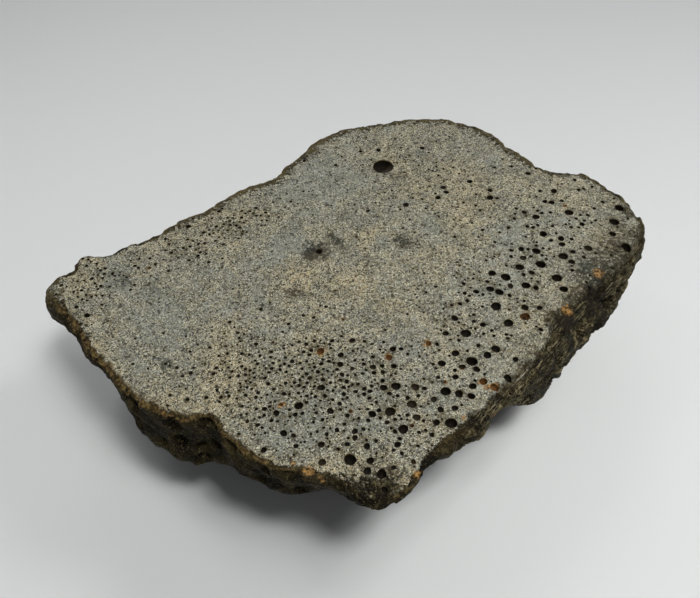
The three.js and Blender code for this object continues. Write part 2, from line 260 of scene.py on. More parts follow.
# Fields of small bubbles: the middle, the half length and half width, the turn in degrees, how many, and
# the smallest and largest diameter.
FIELDS = [
    (-12, -28, 15, 10, -10, 620, 0.35, 0.8),
    (-2, -32, 18, 10, -12, 330, 0.45, 0.95),
    (24, -10, 30, 11, 46, 300, 0.35, 0.8),
    (44, 14, 15, 12, 30, 110, 0.4, 0.9),
    (-29, 10, 17, 4, 36, 170, 0.4, 0.85),
    (-53, -4, 6, 7, 60, 90, 0.4, 0.8),
    (15, 22, 13, 14, 30, 150, 0.35, 0.7),
    (4, 38, 16, 10, 0, 50, 0.35, 0.6),
    (2, 0, 50, 34, 20, 160, 0.3, 0.5),
]
# The least gap between two bubbles, and between the edge and a bubble of the solid, or any other bubble.
SPACING = 0.16
SOLID_FROM_EDGE = 0.35
FROM_EDGE = 0.4
# Bubbles that are lined with rust, as x and y.
RUSTY = [
    (24.1, -29.4), (22.2, -28.4), (12.9, -19.6), (-7.0, -21.6), (5.6, -23.1),
    (46.0, 18.2), (9, -40), (-14, -33), (17, -33), (-2, -45),
]
# Bubbles that the saw only just opened, so that a grey-brown floor shows, as x and y.
SHALLOW = [
    (9.1, -33.2), (9.8, -35.9), (10.0, -29.6), (13.0, -32.2), (-5.1, -22.2), (-6.2, -44.5), (47.8, 5.4),
    (33.9, 2.4), (-1.1, -25.6), (28, -12), (19, -21), (38, 9), (15, -27),
]

bubbles = []
for mouth in mouths:
    middle = mouth.mean(axis=0)
    bubbles.append((*middle, np.linalg.norm(mouth - middle, axis=1).mean()))
bubbles = np.array(bubbles)
known = [(x, y) for x, y, radius in bubbles]
middling = list(LEFT_SIDE)
for size, places in ON_THE_PLAN.items():
    for x, y in places:
        x, y = round(x + PLAN_ZERO[0], 1), round(y + PLAN_ZERO[1], 1)
        if min(math.hypot(x - a, y - b) for a, b in known) > SAME_BUBBLE:
            known.append((x, y))
            middling.append((x, y, size))
bubbles = bubbles[nearest_on_edge(bubbles[:, :2])[0] > bubbles[:, 2] + SOLID_FROM_EDGE]
tries = []
for x, y, long, wide, turn, count, least, most in FIELDS:
    across = chance.normal(size=(count, 2)) * (0.62 * long, 0.62 * wide)
    angle = math.radians(turn)
    spin = np.array([[math.cos(angle), -math.sin(angle)], [math.sin(angle), math.cos(angle)]])
    radius = (least + (most - least) * chance.random(count) ** 1.8) / 2
    tries.append(np.column_stack([across @ spin.T + (x, y), radius]))
tries = np.vstack(tries)
tries = np.vstack([[(x, y, size / 2) for x, y, size in middling], tries[np.argsort(-tries[:, 2])]])
tries = tries[inside_edge(tries[:, :2])]
clear = nearest_on_edge(tries[:, :2])[0] > tries[:, 2] + FROM_EDGE
for x, y, radius in tries[clear]:
    gap = np.hypot(bubbles[:, 0] - x, bubbles[:, 1] - y) - bubbles[:, 2] - radius
    if gap.min() > SPACING:
        bubbles = np.vstack([bubbles, (x, y, radius)])


def marked(places, reach=0.7):
    """True for each bubble that lies at one of the places."""
    away = np.hypot(*(bubbles[:, None, :2] - np.array(places)[None]).transpose(2, 0, 1))
    return away.min(axis=1) < reach


by_chance = (chance.random(len(bubbles)) < 0.03) & (bubbles[:, 2] > 0.3)
rusted = np.where(marked(RUSTY), 1.0, by_chance * chance.uniform(0.4, 0.75, len(bubbles)))
shallow = marked(SHALLOW)
dusted = np.where(shallow, 0.7, 0.75 * chance.random(len(bubbles)) ** 2)
largest = bubbles[:, 2].argmax()


# ---- The cut face and its bubbles as a mesh ----
# The face is level. Its points lie on an open net between the mouths of the bubbles and in rows along the
# edge, so that the stains can change from place to place. Each bubble is a bowl below its mouth.
NET_STEP = 1.2
ROWS_FROM_EDGE = (0.45, 1.0, 1.8)
CUT, HOLLOW, CRUST = 0, 1, 2
# How finely a bubble is made, by its radius: up to which radius, the sides of its mouth and the steps down.
FINENESS = [(0.26, 7, 1), (0.42, 9, 2), (0.8, 13, 3), (1.5, 18, 4), (math.inf, 36, 8)]
# A bubble is at most this deep.
DEEPEST = 2.2
# Where the rind laps onto the face, as on the front tip and along the worn right side: x, y, radius and
# strength.
CRUST_ON_FACE = [
    (-60.6, -3.6, 2.4, 0.6), (3.5, -50.5, 4.6, 0.72), (47, -8.5, 3.6, 0.8), (51, -2.5, 3, 0.6),
    (41, -15.5, 3, 0.65), (36, -22, 2.2, 0.6),
    (31, -27, 2, 0.5), (22, -36.5, 2, 0.6), (15, -44, 2, 0.55), (56, 5, 3, 0.6), (59, 17, 2.6, 0.7),
    (57, 26, 2.4, 0.6), (-2, -48, 2, 0.5),
]
MARKS = {"hollow": 1, "dust_and_lit_side": 1, "rust": 1, "lip": 1, "crest": 1, "crusted": 1, "grain_way": 3}
points, faces, kinds = [], [], []
marks = {name: [] for name in MARKS}


def add_points(new, **given):
    """Adds points to the stone's mesh with their marks, and returns their numbers."""
    first = sum(len(p) for p in points)
    points.append(np.asarray(new, float))
    for name, size in MARKS.items():
        value = np.asarray(given.get(name, 0.0), float).reshape(-1, size if name in given else 1)
        marks[name].append(np.broadcast_to(value, (len(new), size)))
    return np.arange(first, first + len(new))


def add_faces(new, kind):
    """Adds triangles of one kind of surface. Those of a hollow are given as seen from inside the stone."""
    new = np.asarray(new, int).reshape(-1, 3)
    faces.append(new[:, ::-1] if kind == HOLLOW else new)
    kinds.append(np.full(len(new), kind))


def band(upper, lower, kind):
    """Joins two closed rings of points. The lower one has as many points as the upper one, or half."""
    b, b2 = lower, np.roll(lower, -1)
    if len(upper) == len(lower):
        a, a2 = upper, np.roll(upper, -1)
        add_faces(np.vstack([np.column_stack([a, b, b2]), np.column_stack([a, b2, a2])]), kind)
    else:
        a, half, a2 = upper[::2], upper[1::2], np.roll(upper[::2], -1)
        for three in ([a, b, half], [half, b, b2], [half, b2, a2]):
            add_faces(np.column_stack(three), kind)


def fineness(radius):
    """The sides of a bubble's mouth and its steps down."""
    return next((sides, steps) for limit, sides, steps in FINENESS if radius < limit)


def mouth_of(x, y, radius):
    """The outline of a bubble's mouth, a little out of round."""
    sides = fineness(radius)[0]
    angles = np.arange(sides) / sides * 2 * math.pi + chance.random()
    uneven = min(0.08, 0.05 / radius)
    wobble = np.cos(2 * angles + chance.random() * 6.3) + 0.5 * np.cos(3 * angles + chance.random() * 6.3)
    out = radius * (1 + uneven * wobble)
    return np.column_stack([x + out * np.cos(angles), y + out * np.sin(angles)])


def clear_of_bubbles(spots, room):
    """The points that stand at least this far from the mouth of every bubble."""
    nearest = np.full(len(spots), 1e9)
    for x, y, radius in bubbles:
        nearest = np.minimum(nearest, np.hypot(spots[:, 0] - x, spots[:, 1] - y) - 1.1 * radius)
    return spots[nearest > room]


mouth_outlines = [mouth_of(*b) for b in bubbles]
low, high = edge.min(axis=0), edge.max(axis=0)
rows = np.arange(low[1], high[1], NET_STEP * math.sqrt(3) / 2)
columns = np.arange(low[0], high[0], NET_STEP)
net = np.array([(x + (i % 2) * NET_STEP / 2, y) for i, y in enumerate(rows) for x in columns])
net = net + chance.uniform(-0.2, 0.2, (len(net), 2))
net = net[inside_edge(net)]
net = net[nearest_on_edge(net)[0] > ROWS_FROM_EDGE[-1] + 0.5]
edge_rows = []
for number, inset in enumerate(ROWS_FROM_EDGE):
    every = 1 + number // 2
    row = (edge - outward * inset)[::every]
    row = row[inside_edge(row)]
    edge_rows.append(row[nearest_on_edge(row)[0] > 0.82 * inset])
inner = clear_of_bubbles(np.vstack([net, *edge_rows]), 0.28)

flat_spots = [edge, *mouth_outlines, inner]
segments, start = [], 0
owner = np.full(sum(map(len, flat_spots)), -1)
for ring, line in enumerate([edge, *mouth_outlines]):
    numbers = np.arange(start, start + len(line))
    segments += list(zip(numbers.tolist(), np.roll(numbers, -1).tolist()))
    owner[numbers] = ring
    start += len(line)
meshed = delaunay_2d_cdt([Vector(p) for p in np.vstack(flat_spots).tolist()], segments, [], 1, 1e-7, True)
cut_points = np.array([v[:] for v in meshed[0]])
came_from = np.array([ids[0] if ids else -1 for ids in meshed[3]])
place_of = {old: new for new, ids in enumerate(meshed[3]) for old in ids}
cut_faces = np.array([f[:] for f in meshed[2] if len(f) == 3])
owners = np.where(came_from[cut_faces] >= 0, owner[came_from[cut_faces]], -2)
in_mouth = (owners[:, 0] > 0) & (owners[:, 0] == owners[:, 1]) & (owners[:, 1] == owners[:, 2])
cut_faces = cut_faces[~in_mouth & inside_edge(cut_points[cut_faces].mean(axis=1))]
a, b, c = (cut_points[cut_faces[:, i]] for i in range(3))
facing_down = (b - a)[:, 0] * (c - a)[:, 1] - (b - a)[:, 1] * (c - a)[:, 0] < 0
cut_faces[facing_down] = cut_faces[facing_down][:, ::-1]
cut_owner = np.where(came_from >= 0, owner[came_from], -2)
on_mouth = cut_owner > 0
bubble_of = np.clip(cut_owner - 1, 0, None)
from_edge = nearest_on_edge(cut_points)[0]
turn = np.degrees(np.arctan2(cut_points[:, 1], cut_points[:, 0])) % 360
bare_edge = ramp(turn, 300, 325) + ramp(-turn, -40, -15) * (turn < 90)
back_edge = ramp(turn, 20, 45) * ramp(-turn, -175, -160)
crust_inward = 0.5 + 1.4 * back_edge + (0.45 + 0.7 * back_edge) * rumple(cut_points, 2.2, 45)
on_knob = (cut_points - KNOB[:2]) @ np.array([-0.75, -0.66])
on_face = 0.72 * ramp(on_knob, -0.3, 4.2) * (cut_points[:, 0] < -50)
for x, y, radius, strength in CRUST_ON_FACE:
    spot = np.hypot(cut_points[:, 0] - x, cut_points[:, 1] - y) / radius
    on_face = np.maximum(on_face, strength * np.exp(-(spot**2.5)))
crust_inward = crust_inward + 3.6 * bare_edge * np.clip(rumple(cut_points, 4.5, 49) + 0.3, 0, 1)
lapped = np.exp(-((from_edge / np.clip(crust_inward, 0.2, 4)) ** 2))
heights = face_height(cut_points)
add_points(
    np.column_stack([cut_points, heights]),
    lip=np.where(on_mouth, (0.35 + 0.65 * chance.random(len(bubbles)))[bubble_of], 0),
    rust=np.where(on_mouth, 0.7 * rusted[bubble_of], 0),
    crusted=np.maximum(on_face, (1 - 0.35 * bare_edge - 0.3 * back_edge) * lapped),
)
add_faces(cut_faces, CUT)
edge_ring = np.array([place_of[i] for i in range(EDGE_POINTS)])

start = EDGE_POINTS
for number, ((x, y, radius), line) in enumerate(zip(bubbles, mouth_outlines)):
    upper = np.array([place_of[i] for i in range(start, start + len(line))])
    start += len(line)
    top = heights[upper]
    deep = radius * (chance.uniform(0.6, 0.9) if shallow[number] else chance.uniform(0.9, 1.8))
    deep = min(deep, DEEPEST)
    steps = fineness(radius)[1]
    looks = {"dust_and_lit_side": dusted[number], "rust": rusted[number]}
    for step in range(1, steps + 1):
        down = math.sin(step / (steps + 1) * math.pi / 2)
        swell = math.cos(step / (steps + 1) * math.pi / 2) ** 0.7
        dent = 1 + min(0.05, 0.04 / radius) * (radius > 0.4) * chance.normal(size=(len(line), 1))
        ring = (line - (x, y)) * swell * dent + (x, y)
        # On the largest bubble this mark is painted light: the walls towards the front and right are made
        # paler, while the far wall stays dark.
        if number == largest:
            looks["dust_and_lit_side"] = 2 * ramp((ring - (x, y)) @ (0.45, -0.9) / radius, -0.7, 0.2)
        lower = add_points(np.column_stack([ring, top - deep * down]), hollow=down, **looks)
        band(upper, lower, HOLLOW)
        upper = lower
    looks["dust_and_lit_side"] = np.mean(looks["dust_and_lit_side"])
    tip = add_points([(x, y, top.mean() - deep)], hollow=1.0, **looks)
    add_faces(np.column_stack([upper, np.full(len(upper), tip[0]), np.roll(upper, -1)]), HOLLOW)


# ---- The natural outside ----
# Below the cut the stone keeps its weathered outside: a dark rind, worn round along the right edge, with
# fine flow ridges there, a dark cove at the front left, pits everywhere, and a flat that it lies on.
RINGS = 88
RAYS = 260
# From these rings down, every second and then every fourth point is kept.
HALVED_AT = (52, 70)
# Above 1, the rings lie closer together near the edge than near the foot.
RING_CROWDING = 1.45
PIT_COUNT = 700

axis = corners[corners[:, 2] < 0.01][:, :2].mean(axis=0)
heart = Vector((*axis, 0.55 * CUT_HEIGHT))
solid = BVHTree.FromPolygons(corners.tolist(), triangles.tolist())
arms = edge - axis
arm_lengths = np.linalg.norm(arms, axis=1)
edge_heights = heights[edge_ring]
skin = np.zeros((EDGE_POINTS, RINGS, 3))
drop = np.zeros((EDGE_POINTS, RINGS))
for i in range(EDGE_POINTS):
    top = math.atan2(edge_heights[i] - heart.z, arm_lengths[i])
    line = [(*edge[i], edge_heights[i])]
    for angle in np.linspace(top, -0.5 * math.pi + 0.06, RAYS):
        ray = Vector((*(arms[i] / arm_lengths[i] * math.cos(angle)), math.sin(angle)))
        hit = solid.ray_cast(heart, ray)[0]
        if hit is not None and hit.z < edge_heights[i] - 0.15:
            line.append(hit[:])
    line = np.array(line)
    along = np.concatenate([[0], np.cumsum(np.linalg.norm(np.diff(line, axis=0), axis=1))])
    drop[i] = np.linspace(0, 1, RINGS) ** RING_CROWDING * along[-1]
    skin[i] = np.stack([np.interp(drop[i], along, line[:, k]) for k in range(3)], axis=1)

settled = blurred(blurred(skin, 1.3), 1.0, axis=1, closed=False)
keep = np.clip(np.arange(RINGS) / 3, 0, 1)[None, :, None]
skin = skin * (1 - keep) + settled * keep
to_ball = np.clip(KNOB_RADIUS / np.linalg.norm(skin - KNOB, axis=2, keepdims=True), 1, 4)
skin = skin + (KNOB + (skin - KNOB) * to_ball - skin) * keep


def normals_of(grid):
    """The outward normal at each point of the skin."""
    around = np.roll(grid, -1, axis=0) - np.roll(grid, 1, axis=0)
    down = np.gradient(grid, axis=1)
    normal = np.cross(down, around)
    return normal / (np.linalg.norm(normal, axis=2, keepdims=True) + 1e-9)


spots = skin.reshape(-1, 3)
depth = drop.reshape(-1)
lap = length_along(edge)
round_angle = np.repeat(lap[:-1] / lap[-1] * 2 * math.pi, RINGS)
ring_radius = lap[-1] / (2 * math.pi)
even_depth = blurred(drop, 7.0).reshape(-1)
lay = np.column_stack([ring_radius * np.cos(round_angle), ring_radius * np.sin(round_angle), even_depth])
bearing = np.degrees(np.arctan2(spots[:, 1] - axis[1], spots[:, 0] - axis[0])) % 360
right_side = np.clip(ramp(bearing, 296, 312) + ramp(-bearing, -30, -10) * (bearing < 90), 0, 1)
left_side = ramp(bearing, 165, 190) * ramp(-bearing, -262, -245)
ridges = 1 - 2.2 * np.abs(rumple(lay * (0.13, 0.13, 1.0), 1.0, 21))
fine_ridges = 1 - 2.2 * np.abs(rumple(lay * (0.22, 0.22, 2.0), 1.0, 25))
ridge_zone = ramp(depth, 0.3, 1.2) * ramp(-depth, -17, -11)
calm = 1 - 0.75 * right_side * ramp(-depth, -9, -4)
knobs = rumple(spots, 6.0, 4)
lumps = 1 - 2 * np.abs(rumple(spots, 3.6, 9))
grit = rumple(spots, 1.3, 14)
fine_grit = rumple(spots, 0.7, 18)
relief = (0.2 + 0.3 * calm) * knobs + calm * (0.32 * lumps + 0.24 * grit + 0.14 * fine_grit)
relief = relief + ridge_zone * (0.42 * right_side + 0.14 * left_side) * (ridges + 0.5 * fine_ridges - 0.6)

# Swellings and hollows of the outside: x, y, z, reach and amount.
SWELLINGS = [(19.5, -37, 22, 4.5, 2.2), (15, -41, 22, 3.5, 1.3), (29.5, -26, 10, 5, -1.5)]
for x, y, z, reach, amount in SWELLINGS:
    relief += amount * np.exp(-((np.linalg.norm(spots - (x, y, z), axis=1) / reach) ** 2))

# Pits: bubbles that the weather opened. Most are small, and some run together. The largest are placed:
# x, y, z and radius.
CAVITIES = [
    (52, -6, 22.5, 1.7), (46, -14, 23, 1.9), (50, -12, 19, 2.1), (40, -22, 22, 1.6), (57, 2, 22, 1.5),
    (33, -29, 23, 1.3), (20, -40, 23, 1.4), (43, -19, 18, 1.5), (26, -36, 21, 1.2), (59, 14, 20, 1.6),
    (-40, 24, 20, 1.6), (-12, 40, 17, 2.0), (24, 47, 20, 1.7), (46, 34, 18, 1.8), (-50, -14, 17, 1.6),
    (-58.4, 0.4, 25.0, 1.8), (-28, -36, 15, 1.4), (-4, -44, 16, 1.8), (5, -47, 21, 1.3),
    (-20, 36, 22, 1.2), (8, 48, 22, 1.4),
]
pits = np.zeros(len(spots))
sizes = 0.45 + 1.2 * chance.random(PIT_COUNT) ** 2.2
homes = [(home, size) for home, size in zip(spots[chance.integers(len(spots), size=len(sizes))], sizes)]
for x, y, z, size in CAVITIES:
    homes.append((spots[np.linalg.norm(spots - (x, y, z), axis=1).argmin()], size))
for home, radius in homes:
    near = np.linalg.norm(spots - home, axis=1)
    hole = near < radius
    pits[hole] = np.maximum(pits[hole], radius * np.sqrt(1 - (near[hole] / radius) ** 2))
relief = (relief - pits) * ramp(depth, 0.0, 0.9)
relief = np.where(spots[:, 2] < 3, np.minimum(relief, 0.12 * spots[:, 2]), relief)
relief = relief.reshape(EDGE_POINTS, RINGS)
pushed = skin + normals_of(skin) * relief[:, :, None]
pushed = np.clip(pushed, lowest, highest)
pushed[:, 1:, 2] = np.minimum(pushed[:, 1:, 2], edge_heights[:, None] - 0.02)
crest = relief - blurred(blurred(relief, 4.0), 3.0, axis=1, closed=False)
grey_depth = 0.12 + 0.9 * right_side * np.clip(rumple(spots, 5.0, 47), 0, 1)
crusted = ramp(depth / np.clip(grey_depth, 0.1, 4) + 0.35 * rumple(spots, 2.4, 41), 0.2, 1.0)
crusted = crusted.reshape(EDGE_POINTS, RINGS)
lay = lay.reshape(EDGE_POINTS, RINGS, 3)

upper = edge_ring
for ring in range(1, RINGS):
    every = 1 + (ring >= HALVED_AT[0]) + 2 * (ring >= HALVED_AT[1])
    looks = {
        "crest": crest[::every, ring],
        "crusted": crusted[::every, ring],
        "grain_way": lay[::every, ring],
    }
    lower = add_points(pushed[::every, ring], **looks)
    band(upper, lower, CRUST)
    upper = lower
foot = pushed[:, -1].mean(axis=0)
foot_number = add_points([(foot[0], foot[1], pushed[:, -1, 2].min())], crusted=1.0)[0]
add_faces(np.column_stack([upper, np.full(len(upper), foot_number), np.roll(upper, -1)]), CRUST)


# ---- Stains, tints and rust ----
# The face is grey with a little olive. Ochre dust lies on parts of it, blue-grey patches show between, and
# rust has bled from metal grains and along the edge. A place is x, y, radius and strength, or x, y, z, radius
# and strength for rust and tan.
WARM = [
    (4, -49, 5, 0.8), (46, -9, 4, 0.7), (24, 20, 5, 1.1), (24, 28, 5, 0.9), (25, 12, 5, 0.7),
    (8, 36, 5, 0.7), (15, 29, 7, 0.6), (40, 28, 6, 0.5), (-12.6, -0.7, 2.4, 2.2), (-11.4, -5, 2.6, 1.6),
    (-0.5, -5, 3, 1.3), (3.3, 9.8, 3, 1.4), (-10, 10.1, 1.3, 1.2), (21.2, 15.5, 3, 0.8), (-25, -26, 2, 1.2),
    (-28, 15, 7, 0.5), (-10, -4, 8, 0.6), (0, -4, 5, 0.5), (16, 4, 6, 0.6), (8, -12, 4, 0.6),
    (-24, -24, 5, 0.9), (-24, -30, 4, 1.0), (-8, -20, 4, 0.5), (-48, -19, 4, 0.7), (-55, -5, 5, 0.9),
    (-25, -17, 3, 0.7), (-31, -34, 4, 0.8), (-2, -47, 5, 0.9), (40, -5, 4, 0.6), (31, -12, 4, 0.6),
    (55, 8, 5, 0.6), (48, 20, 5, 0.4), (16, -20, 4, 0.4), (31, -20, 4, 0.4), (-38, 10, 5, 0.4),
]
COOL = [
    (5.4, 7.7, 2.2, 1.3), (-13, 7.5, 3.5, 1.0), (-8, 27, 9, 0.9), (-16, 4, 4, 0.7), (32, 8, 5, 0.9),
    (-11, -37, 6, 0.8), (28, -4, 5, 0.6),
    (-48, -4, 5, 0.7), (-39, -14, 8, 0.6), (16, 12, 4, 0.7), (8, -20, 4, 0.5), (14, 35, 4, 0.6),
    (0, 12, 4, 0.3), (32, 36, 5, 0.4), (24, -28, 5, 0.4), (0, -36, 6, 0.4), (-20, -10, 6, 0.3),
]
SMUDGES = [
    (-8.5, 4.2, 1.9, 1.7), (-9.9, 3.7, 1.2, 1.0), (-5.5, 9.2, 0.7, 1), (-4, 7.4, 0.8, 1.1),
    (9.6, 7.2, 1.9, 1.3), (-12.3, -6.9, 1.6, 0.8),
    (3.5, -10.7, 2.6, 0.35), (-46.5, -4.2, 1.8, 0.6), (-41, -4.9, 1.6, 0.6), (-34.7, -24.5, 1.1, 0.9),
    (46.8, -6.4, 1.9, 1.7), (40.3, -14.0, 2.2, 2.0), (36.3, -22, 1.8, 1.4), (50.2, -8.4, 1.6, 1.6),
    (46.5, -8.5, 3.4, 0.9), (47, -1, 3.5, 0.7), (40, -14.5, 3, 0.9), (-4, 6, 5, 0.3), (9, 28, 2, 0.5),
    (3, -48, 4, 0.35), (-1, -49, 2, 0.4), (34, -23, 3, 0.6), (53, 4, 4, 0.7), (15.5, 36, 2.5, 0.45),
    (56, 12, 3, 0.5), (27, -31, 2.5, 0.6), (-16, 12, 6, 0.2), (30, 30, 8, 0.15), (-36, 3, 9, 0.16),
    (50, -5, 4, 1.0), (45, -14, 3.5, 1.0), (39, -20, 3, 0.8), (21, -36, 3, 0.4), (55, -1, 3, 0.6),
    (44, -9, 7, 0.3), (52, 6, 7, 0.25), (32, -24, 6, 0.25), (55, 20, 5, 0.2),
    (13, -43, 3, 0.3), (-30, -34, 2, 0.3), (-10, -44, 2, 0.3), (4, -47, 3, 0.4),
]
RUST = [
    (48.5, -1.7, 27, 1.4, 1.15), (40.8, -11, 27, 1.3, 1.8), (44.5, -7.5, 27, 1.2, 0.7),
    (9.6, -46.3, 27, 1.1, 1.3), (24.3, -29.2, 27, 0.8, 1.2), (22.3, -28.4, 27, 0.6, 0.9),
    (18, -36, 27, 1.0, 0.6), (23.3, -33.7, 25, 1.2, 1.0), (-8.3, -45.8, 26.8, 1.1, 0.8),
    (-10.8, -44.6, 26.8, 0.9, 0.6), (-38.2, -32.8, 27, 1.1, 0.6), (-33.5, -35, 26.5, 0.9, 0.5),
    (-30, -36.3, 26.6, 0.9, 0.55), (-44, -28.3, 26.6, 1, 0.5), (-21, -39.6, 26.5, 1, 0.5),
    (-6, -47, 26.3, 1, 0.6), (-16, -42.8, 26.5, 1, 0.45), (46, 18.2, 27, 0.6, 0.8),
    (-7, -21.4, 27, 0.7, 0.6), (12.9, -19.4, 27, 0.8, 0.6), (-2.5, -17.6, 27, 0.8, 0.45),
    (38, -23, 24, 1.1, 0.7), (53, 2, 23, 1.2, 0.6), (20, 20, 27, 1.0, 0.35), (-56, -10, 25, 1.4, 0.45),
    (-20, 46, 20, 1.4, 0.5), (30, 44, 19, 1.8, 0.6), (52, 24, 21, 1.5, 0.5), (2, -52.5, 26, 1.2, 0.45),
]
# Where the rind is worn to tan, or is darker (below 0). The first place, on the knob's upper side, is partly
# painted light: it makes the top of the knob paler where the light falls on it.
TAN_AND_LIT_KNOB = [
    (-61, -6, 25, 4, 1.0), (-55, 2, 25, 4, 0.6), (6, -50, 24, 7, 0.2), (-30, -33, 14, 6, 0.15),
    (-8, -43, 16, 5, 0.1), (48, -12, 24, 9, 0.3), (30, -30, 24, 8, 0.35), (20, 48, 16, 12, 0.4),
    (42, -26, 12, 9, -0.9), (36, -32, 14, 6, -0.6), (-30, 30, 16, 14, 0.35), (58, 15, 20, 10, 0.3),
    (-45, -18, 12, 8, 0.25), (40, 36, 14, 9, 0.3),
]
vertices = np.vstack(points)
flat = vertices[:, :2]
marks = {name: np.vstack(blocks) for name, blocks in marks.items()}


def patches(spread):
    """How strongly a list of soft round patches on the face shows at each point."""
    total = np.zeros(len(vertices))
    for x, y, radius, strength in spread:
        near = np.hypot(flat[:, 0] - x, flat[:, 1] - y) / radius
        total += strength * np.exp(-near * near)
    return total


def balls(spread):
    """How strongly a list of soft balls, anywhere on the stone, shows at each point."""
    total = np.zeros(len(vertices))
    for x, y, z, radius, strength in spread:
        near = np.linalg.norm(vertices - (x, y, z), axis=1) / radius
        total += strength * np.exp(-near * near)
    return total


far = nearest_on_edge(flat)[0]
turn = np.degrees(np.arctan2(flat[:, 1] - axis[1], flat[:, 0] - axis[0])) % 360
front_left = ramp(turn, 180, 200) * ramp(-turn, -292, -275)
by_edge = np.exp(-far / 1.6) * (0.3 + 0.9 * front_left)
warmth = 1.25 * patches(WARM) - 1.15 * patches(COOL) + by_edge
warmth += 0.45 * rumple(flat, 8.0, 31) + 0.45 * rumple(flat, 2.6, 33)
stain = patches(SMUDGES) * (0.8 + 0.6 * rumple(flat, 1.8, 35))
tan = balls(TAN_AND_LIT_KNOB)
along_back = ramp(turn, 20, 45) * ramp(-turn, -175, -160)
tan += (0.8 + rumple(vertices, 4.0, 57)) * along_back * np.exp(-far / 2.5) * ramp(vertices[:, 2], 22, 26)
marks["tan"] = (tan + 0.25 * rumple(vertices, 9.0, 55))[:, None]
marks["rust"] = np.maximum(marks["rust"], balls(RUST)[:, None])
marks["warmth"] = warmth[:, None]
marks["stain"] = stain[:, None]
rubbed = ramp(turn, 285, 305) + ramp(-turn, -50, -20) * (turn < 180)
marks["rubbed"] = (np.clip(rubbed, 0, 1) * (0.25 + 0.75 * np.exp(-far / 9.0)))[:, None]
rim_width = 0.6 + 0.5 * rumple(flat, 5.0, 61) + 0.3 * ramp(-flat[:, 0], 25, 38) * front_left
rim_strength = 0.4 + 0.45 * ramp(turn, 180, 200) * ramp(-turn, -262, -245) + 0.35 * rumple(flat, 7.0, 63)
rim = rim_strength * np.exp(-((far / np.clip(rim_width, 0.25, 2)) ** 2))
marks["rim"] = (rim * ramp(vertices[:, 2], 25.8, 26.6))[:, None]


# ---- The stone's materials and its object ----
# Two finishes cover the stone: the sawn and weathered surface, where ground grey rock gives way to dark rind,
# and the walls of the opened bubbles, brown at the mouth and painted near-black deeper down as shade.
SHARP_ANGLE = 48
body = bpy.data.meshes.new("stone_surface")
body.from_pydata((vertices * MM).tolist(), [], np.vstack(faces).tolist())
for name, values in marks.items():
    way = name == "grain_way"
    layer = body.attributes.new(name, "FLOAT_VECTOR" if way else "FLOAT", "POINT")
    layer.data.foreach_set("vector" if way else "value", np.ascontiguousarray(values, np.float32).reshape(-1))
kind = np.concatenate(kinds)
body.polygons.foreach_set("material_index", (kind == HOLLOW).astype(np.int32))
body.polygons.foreach_set("use_smooth", np.ones(len(kind), bool))
body.set_sharp_from_angle(angle=math.radians(SHARP_ANGLE))
stone = bpy.data.objects.new("stone_surface", body)
bpy.context.scene.collection.objects.link(stone)


class Finish:
    """A material made of nodes, with short ways to add and join them."""

    def __init__(self, name):
        self.material = bpy.data.materials.new(name)
        self.material.use_nodes = True
        self.tree = self.material.node_tree
        self.shader = self.tree.nodes["Principled BSDF"]

    def join(self, value, socket):
        if isinstance(value, bpy.types.NodeSocket):
            self.tree.links.new(value, socket)
        elif isinstance(value, (tuple, list)) and len(value) == 3 and socket.type == "RGBA":
            socket.default_value = (*value, 1)
        else:
            socket.default_value = value

    def add(self, kind, inputs, output=0, **settings):
        node = self.tree.nodes.new("ShaderNode" + kind)
        for key, value in settings.items():
            setattr(node, key, value)
        for key, value in inputs.items():
            self.join(value, node.inputs[key])
        return node.outputs[output]

    def mark(self, name, output="Fac"):
        return self.add("Attribute", {}, output, attribute_name=name)

    def place(self, stretch=(1, 1, 1)):
        """The place on the stone in millimetres, stretched."""
        here = self.add("TexCoord", {}, "Object")
        return self.add("VectorMath", {0: here, 1: [s / MM for s in stretch]}, operation="MULTIPLY")

    def drawn_out(self, angle, lengths):
        """The place on the stone, drawn out along a direction on the face, to lengths in millimetres."""
        turned = (0, 0, math.radians(angle))
        inputs = {"Vector": self.place(), "Rotation": turned, "Scale": lengths}
        return self.add("Mapping", inputs, vector_type="TEXTURE")

    def noise(self, size, detail=2.0, roughness=0.5, place=None):
        inputs = {
            "Vector": place or self.place(),
            "Scale": 1 / size,
            "Detail": detail,
            "Roughness": roughness,
        }
        return self.add("TexNoise", inputs, "Fac")

    def cells(self, size, output="Color", place=None):
        return self.add("TexVoronoi", {"Vector": place or self.place(), "Scale": 1 / size}, output)

    def part(self, colour, channel):
        return self.add("SeparateColor", {0: colour}, channel)

    def span(self, value, low, high, out_low=0.0, out_high=1.0):
        inputs = {"Value": value, "From Min": low, "From Max": high, "To Min": out_low, "To Max": out_high}
        return self.add("MapRange", inputs, interpolation_type="SMOOTHSTEP")

    def math(self, operation, a, b):
        return self.add("Math", {0: a, 1: b}, operation=operation)

    def blend(self, amount, below, above, way="MIX"):
        node = self.tree.nodes.new("ShaderNodeMix")
        node.data_type = "RGBA"
        node.blend_type = way
        self.join(amount, node.inputs[0])
        self.join(below, node.inputs[6])
        self.join(above, node.inputs[7])
        return node.outputs[2]

    def bump(self, height, distance, strength=1.0, under=None):
        inputs = {"Height": height, "Distance": distance * MM, "Strength": strength}
        if under is not None:
            inputs["Normal"] = under
        return self.add("Bump", inputs)


def rust_over(finish, colour, mark, pale=(0.46, 0.26, 0.085)):
    """Lays broken rust, from brown to a paler orange, over a colour."""
    broken = finish.math("MULTIPLY", mark, finish.span(finish.noise(0.8, 3, 0.6), 0.3, 0.65, 0.35, 1.5))
    bright = finish.math("ADD", finish.noise(0.5, 2), finish.math("MULTIPLY", mark, 0.2))
    tint = finish.blend(finish.span(bright, 0.46, 0.76), (0.06, 0.032, 0.011), pale)
    return finish.blend(finish.span(broken, 0.3, 0.75, 0, 0.92), colour, tint)


